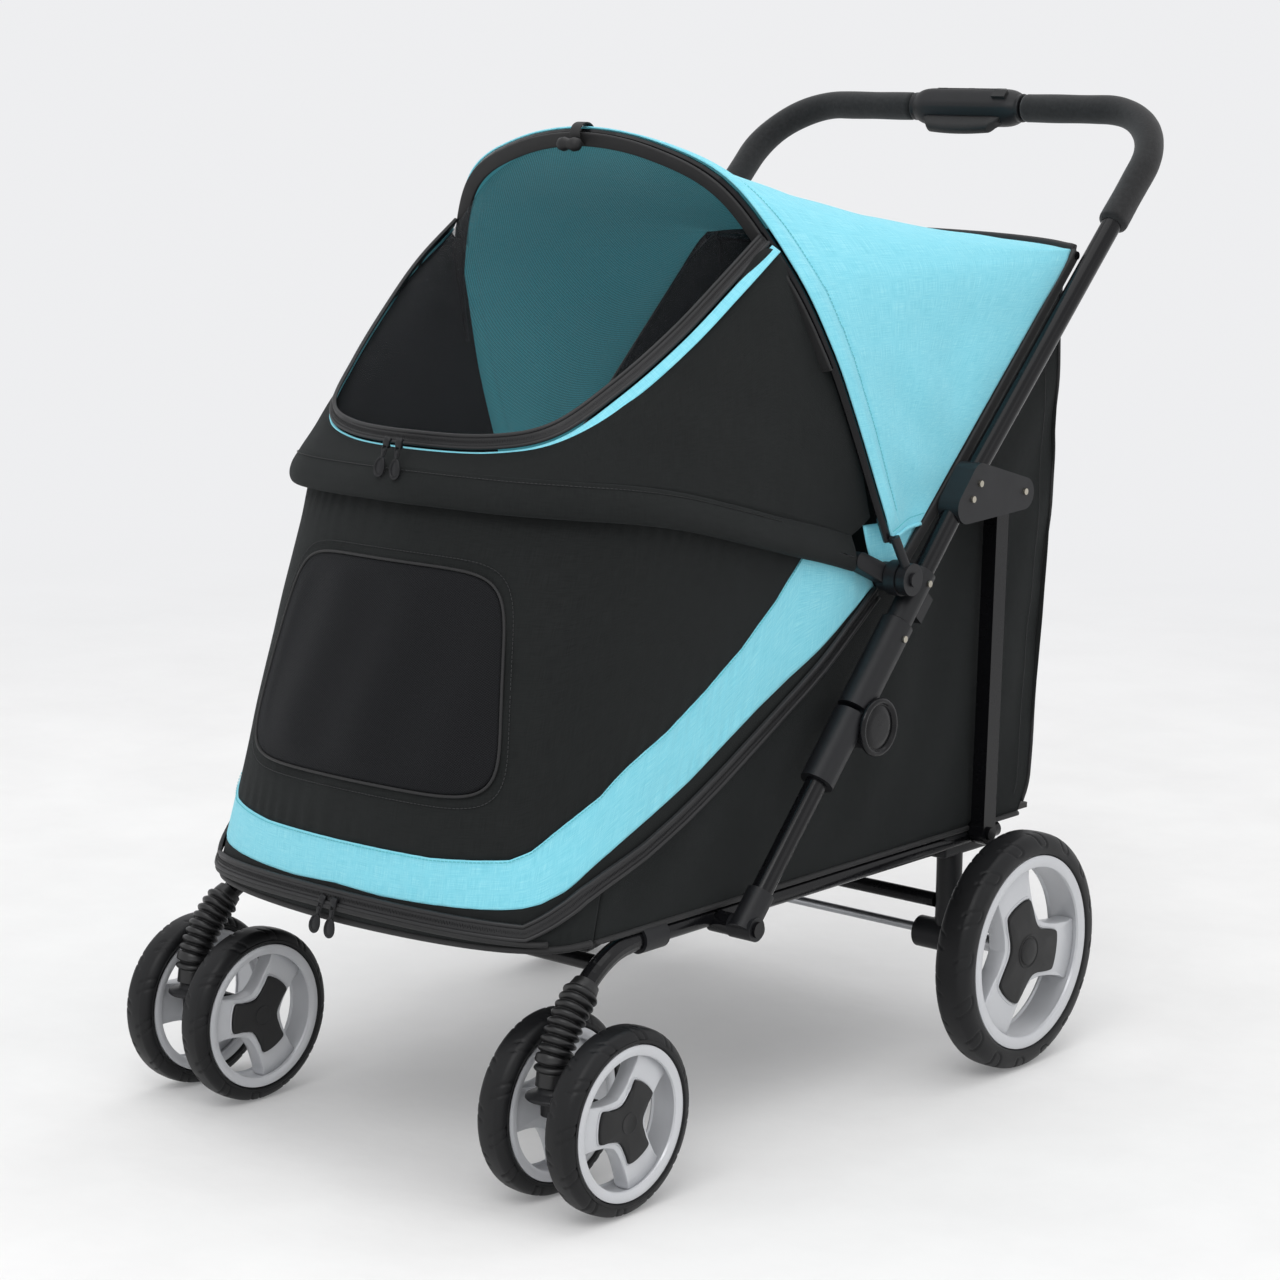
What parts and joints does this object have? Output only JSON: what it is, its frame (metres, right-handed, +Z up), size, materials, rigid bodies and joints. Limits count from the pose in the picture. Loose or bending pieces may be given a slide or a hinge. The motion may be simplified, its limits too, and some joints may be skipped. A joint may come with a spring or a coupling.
{
  "type": "pet stroller",
  "caption": "Folding pet stroller with a zipped fabric cabin, mesh window, hooded canopy, foam handle, sprung twin-wheel front casters and large rear wheels.",
  "frame": {"origin": "on the ground under the middle of the bounding box", "axes": "+Z up, the front faces -Y, +X is the stroller's own left side"},
  "size_m": [0.671, 1.0635, 1.0285],
  "materials": {
    "frame_tube": "gloss black powder coat",
    "steel": "bright zinc-plated steel",
    "rivet": "aged nickel rivet heads",
    "plastic": "matte black moulded plastic with fine grain",
    "cap_plastic": "satin black plastic",
    "foam": "closed-cell black foam, fine pores",
    "gaiter": "black moulded rubber bellows",
    "tyre": "black foam rubber with moulded tread",
    "rim": "satin silver-grey moulded plastic",
    "fabric_black": "charcoal black woven polyester",
    "fabric_cyan": "aqua heather woven polyester",
    "mesh": "black knitted air mesh",
    "pad": "dark grey quilted pad",
    "board": "black hardboard base",
    "zip": "black coil zip and moulded pulls"
  },
  "bodies": {
    "chassis": {"left_rail": "frame_tube", "right_rail": "frame_tube", "cross_tubes": "frame_tube", "rail_clamps": "plastic", "axle_posts": "plastic", "rear_axle": "steel", "floor_board": "board", "mattress": "pad", "tub_walls": "fabric_black", "front_panel": "fabric_black", "bellows": "gaiter"},
    "struts": {"strut_tubes": "frame_tube", "strut_feet": "plastic", "knee_lower_shells": "plastic"},
    "handle_frame": {"handle_tube": "frame_tube", "foam_grips": "foam", "handle_housing": "plastic", "knee_upper_shells": "plastic", "knee_caps": "cap_plastic", "leg_brackets": "plastic", "hub_brackets": "plastic", "frame_rivets": "rivet", "canopy_rear_bar": "frame_tube", "canopy": "fabric_cyan", "waist_hoop": "frame_tube", "hoop_sockets": "plastic", "collar": "fabric_black"},
    "fold_lever": {"release_lever": "cap_plastic"},
    "fold_button": {"lock_button": "cap_plastic"},
    "back_legs": {"rear_legs": "frame_tube"},
    "bow": {"canopy_bow": "frame_tube", "bow_sockets": "plastic", "mesh_window": "mesh"},
    "upper_pulls": {"window_pulls": "zip"},
    "lower_pulls": {"panel_pulls": "zip"},
    "left_brake": {"left_brake_pedal": "cap_plastic"},
    "right_brake": {"right_brake_pedal": "cap_plastic"},
    "left_leg_spring": {"left_plunger": "steel"},
    "right_leg_spring": {"right_plunger": "steel"},
    "left_caster": {"left_fork": "plastic"},
    "right_caster": {"right_fork": "plastic"},
    "left_rear_wheel": {"left_rear_tyre": "tyre", "left_rear_rim": "rim", "left_rear_cap": "cap_plastic"},
    "right_rear_wheel": {"right_rear_tyre": "tyre", "right_rear_rim": "rim", "right_rear_cap": "cap_plastic"},
    "left_outer_wheel": {"left_outer_tyre": "tyre", "left_outer_rim": "rim", "left_outer_cap": "cap_plastic"},
    "left_inner_wheel": {"left_inner_tyre": "tyre", "left_inner_rim": "rim", "left_inner_cap": "cap_plastic"},
    "right_inner_wheel": {"right_inner_tyre": "tyre", "right_inner_rim": "rim", "right_inner_cap": "cap_plastic"},
    "right_outer_wheel": {"right_outer_tyre": "tyre", "right_outer_rim": "rim", "right_outer_cap": "cap_plastic"}
  },
  "joints": [
    {"name": "frame_fold", "type": "hinge", "parent": "chassis", "child": "struts", "pos_m": [0, -0.235, 0.228], "axis": [1, 0, 0], "range_deg": [0, 120], "deforming": ["tub_walls", "front_panel", "canopy", "collar", "mesh_window"]},
    {"name": "knee_fold", "type": "hinge", "parent": "struts", "child": "handle_frame", "pos_m": [0, -0.0525, 0.4005], "axis": [1, 0, 0], "range_deg": [-148, 0]},
    {"name": "back_leg_fold", "type": "hinge", "parent": "chassis", "child": "back_legs", "pos_m": [0, 0.2, 0.24], "axis": [1, 0, 0], "range_deg": [0, 72]},
    {"name": "canopy_fold", "type": "hinge", "parent": "handle_frame", "child": "bow", "pos_m": [0, 0.006, 0.542], "axis": [-1, 0, 0], "range_deg": [0, 50], "deforming": ["canopy", "collar", "mesh_window"]},
    {"name": "fold_lever_squeeze", "type": "slide", "parent": "handle_frame", "child": "fold_lever", "axis": [0, 0.7096, 0.7046], "range_m": [0, 0.007], "stiffness_N_per_m": 800, "springref_m": -0.008},
    {"name": "fold_button_press", "type": "slide", "parent": "handle_frame", "child": "fold_button", "axis": [0, 0.7046, -0.7096], "range_m": [0, 0.0025], "stiffness_N_per_m": 400, "springref_m": -0.003},
    {"name": "window_pull_swing", "type": "hinge", "parent": "handle_frame", "child": "upper_pulls", "pos_m": [0, -0.447, 0.69], "axis": [-1, 0, 0], "range_deg": [0, 60]},
    {"name": "panel_pull_swing", "type": "hinge", "parent": "chassis", "child": "lower_pulls", "pos_m": [0, -0.535, 0.262], "axis": [-1, 0, 0], "range_deg": [0, 60]},
    {"name": "left_brake_press", "type": "hinge", "parent": "chassis", "child": "left_brake", "pos_m": [0.221, 0.211, 0.132], "axis": [-1, 0, 0], "range_deg": [0, 20]},
    {"name": "left_suspension", "type": "slide", "parent": "chassis", "child": "left_leg_spring", "axis": [0, 0, 1], "range_m": [0, 0.01], "stiffness_N_per_m": 6000, "springref_m": -0.01, "deforming": ["bellows"]},
    {"name": "left_caster_swivel", "type": "hinge", "parent": "left_leg_spring", "child": "left_caster", "pos_m": [0.2467, -0.482, 0.11], "axis": [0, 0, 1], "continuous": true},
    {"name": "left_rear_wheel_spin", "type": "hinge", "parent": "chassis", "child": "left_rear_wheel", "pos_m": [0.314, 0.177, 0.127], "axis": [1, 0, 0], "continuous": true},
    {"name": "left_outer_wheel_spin", "type": "hinge", "parent": "left_caster", "child": "left_outer_wheel", "pos_m": [0.2887, -0.439, 0.089], "axis": [1, 0, 0], "continuous": true},
    {"name": "left_inner_wheel_spin", "type": "hinge", "parent": "left_caster", "child": "left_inner_wheel", "pos_m": [0.2047, -0.439, 0.089], "axis": [1, 0, 0], "continuous": true},
    {"name": "right_brake_press", "type": "hinge", "parent": "chassis", "child": "right_brake", "pos_m": [-0.221, 0.211, 0.132], "axis": [-1, 0, 0], "range_deg": [0, 20]},
    {"name": "right_suspension", "type": "slide", "parent": "chassis", "child": "right_leg_spring", "axis": [0, 0, 1], "range_m": [0, 0.01], "stiffness_N_per_m": 6000, "springref_m": -0.01, "deforming": ["bellows"]},
    {"name": "right_caster_swivel", "type": "hinge", "parent": "right_leg_spring", "child": "right_caster", "pos_m": [-0.2467, -0.482, 0.11], "axis": [0, 0, 1], "continuous": true},
    {"name": "right_rear_wheel_spin", "type": "hinge", "parent": "chassis", "child": "right_rear_wheel", "pos_m": [-0.314, 0.177, 0.127], "axis": [1, 0, 0], "continuous": true},
    {"name": "right_outer_wheel_spin", "type": "hinge", "parent": "right_caster", "child": "right_outer_wheel", "pos_m": [-0.2887, -0.439, 0.089], "axis": [1, 0, 0], "continuous": true},
    {"name": "right_inner_wheel_spin", "type": "hinge", "parent": "right_caster", "child": "right_inner_wheel", "pos_m": [-0.2047, -0.439, 0.089], "axis": [1, 0, 0], "continuous": true}
  ],
  "couplings": [
    {"joint": "knee_fold", "follows": "frame_fold", "ratio": -1.2282},
    {"joint": "back_leg_fold", "follows": "frame_fold", "ratio": 0.5944}
  ]
}
